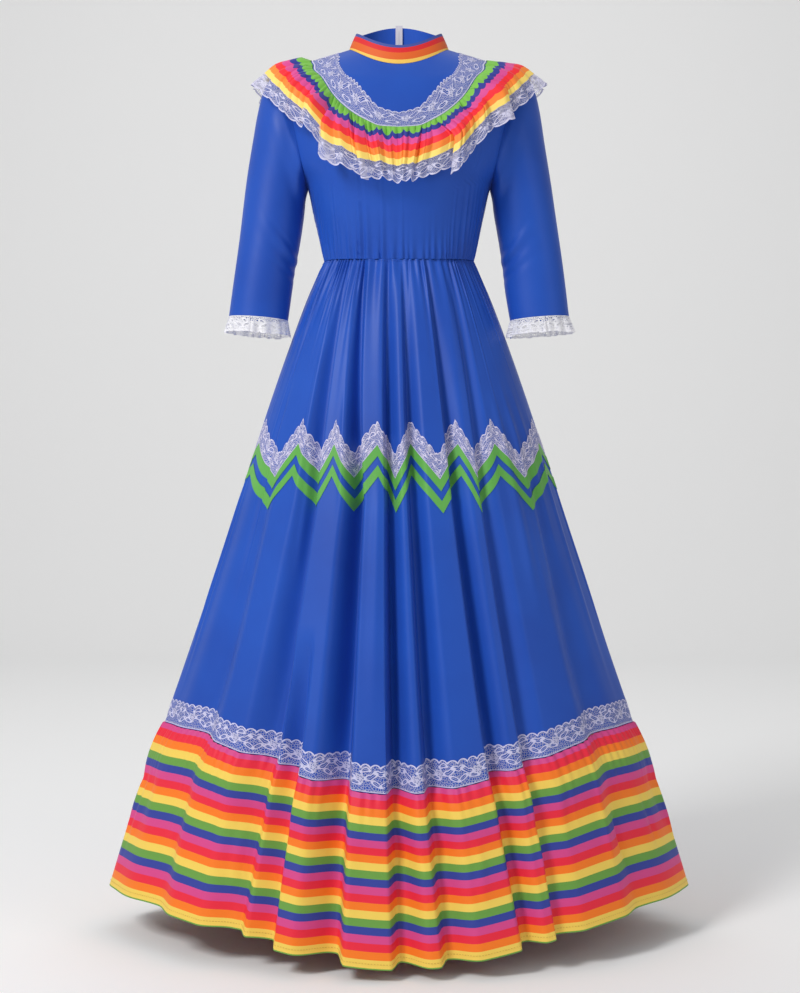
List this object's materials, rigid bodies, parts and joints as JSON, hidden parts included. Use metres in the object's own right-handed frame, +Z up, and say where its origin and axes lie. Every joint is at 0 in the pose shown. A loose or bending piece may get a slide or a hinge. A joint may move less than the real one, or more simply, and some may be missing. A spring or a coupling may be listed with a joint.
{
  "type": "mexican dress, worn and filled out, hollow",
  "caption": "Long blue folk dress with striped stand collar, gathered shoulder ruffle, lace-cuffed sleeves, zigzag trim and a flared skirt with striped flounce.",
  "frame": {"origin": "midway between the shoulders at the foot of the collar's sides, where the wearer carries the dress", "axes": "+Z up, the front of the dress faces -Y, +X towards the wearer's left sleeve"},
  "size_m": [0.928, 0.6179, 1.4394],
  "materials": {
    "blue_satin": "satin",
    "striped_satin": "satin",
    "lace": "matte",
    "green_satin_band": "satin",
    "zip_tape": "matte",
    "zip_plastic": "gloss"
  },
  "bodies": {
    "dress": {"collar": "striped_satin", "bodice_front": "blue_satin", "bodice_back_left": "blue_satin", "bodice_back_right": "blue_satin", "sleeve_left": "blue_satin", "sleeve_right": "blue_satin", "cuff_lace_left": "lace", "cuff_lace_right": "lace", "neck_lace": "lace", "neck_ruffle": "striped_satin", "ruffle_lace": "lace", "skirt_front": "blue_satin", "skirt_back_left": "blue_satin", "skirt_back_right": "blue_satin", "zigzag_lace": "lace", "zigzag_upper_band": "green_satin_band", "zigzag_lower_band": "green_satin_band", "flounce_lace": "lace", "flounce_front": "striped_satin", "flounce_back": "striped_satin", "zip_tape_left": "zip_tape", "zip_tape_right": "zip_tape", "zip_slider": "zip_plastic"},
    "zip_pull": {"zip_pull": "zip_plastic"}
  },
  "joints": [
    {"name": "zip_pull_hinge", "type": "hinge", "parent": "dress", "child": "zip_pull", "pos_m": [0, 0.05833, 0.04122], "axis": [1, 0, 0], "range_deg": [0, 110]}
  ]
}
